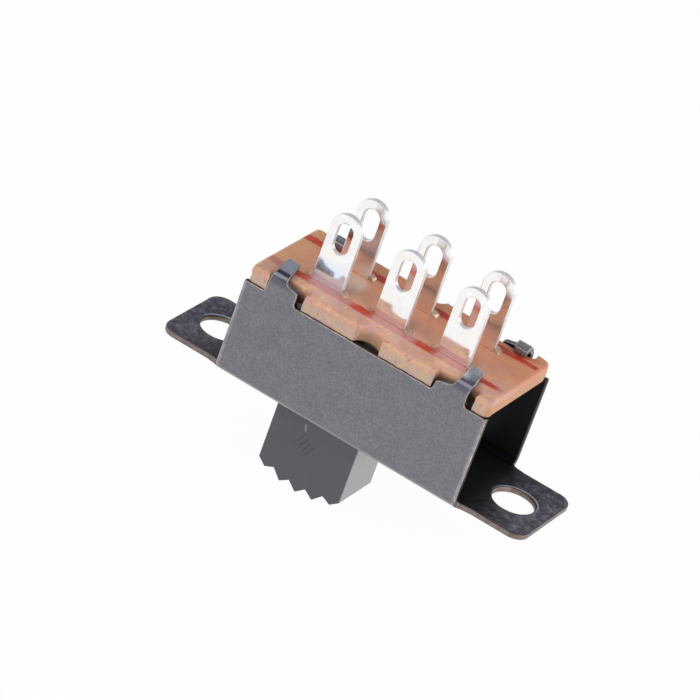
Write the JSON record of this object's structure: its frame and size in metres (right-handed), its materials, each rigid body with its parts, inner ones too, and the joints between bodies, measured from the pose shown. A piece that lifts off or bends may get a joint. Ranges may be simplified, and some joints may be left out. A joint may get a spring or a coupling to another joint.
{
  "type": "slide switch",
  "caption": "Panel-mounting slide switch: a folded bracket with ears, a board of solder lugs on top, and a grooved knob below that slides from end to end.",
  "frame": {"origin": "centre of the mounting face, midway between the two mounting holes, on the bracket's face on the knob's side", "axes": "+X along the slider's travel, +Z towards the solder lugs, and the knob points along -Z"},
  "size_m": [0.035, 0.011, 0.0243],
  "materials": {
    "bracket_steel": "satin black-grey coating",
    "laminate": "paper laminate with a dull resin face",
    "tinned_brass": "bright tinned",
    "moulding": "satin",
    "contact_bronze": "rolled strip",
    "spring_wire": "drawn wire"
  },
  "bodies": {
    "housing": {"bracket": "bracket_steel", "terminal_board": "laminate", "terminal_a1": "tinned_brass", "terminal_a2": "tinned_brass", "terminal_a3": "tinned_brass", "terminal_b1": "tinned_brass", "terminal_b2": "tinned_brass", "terminal_b3": "tinned_brass"},
    "slider_unit": {"slider": "moulding", "contact_a": "contact_bronze", "contact_b": "contact_bronze", "contact_spring_a": "spring_wire", "contact_spring_b": "spring_wire"}
  },
  "joints": [
    {"name": "slide", "type": "slide", "parent": "housing", "child": "slider_unit", "axis": [1, 0, 0], "range_m": [0, 0.005]}
  ]
}
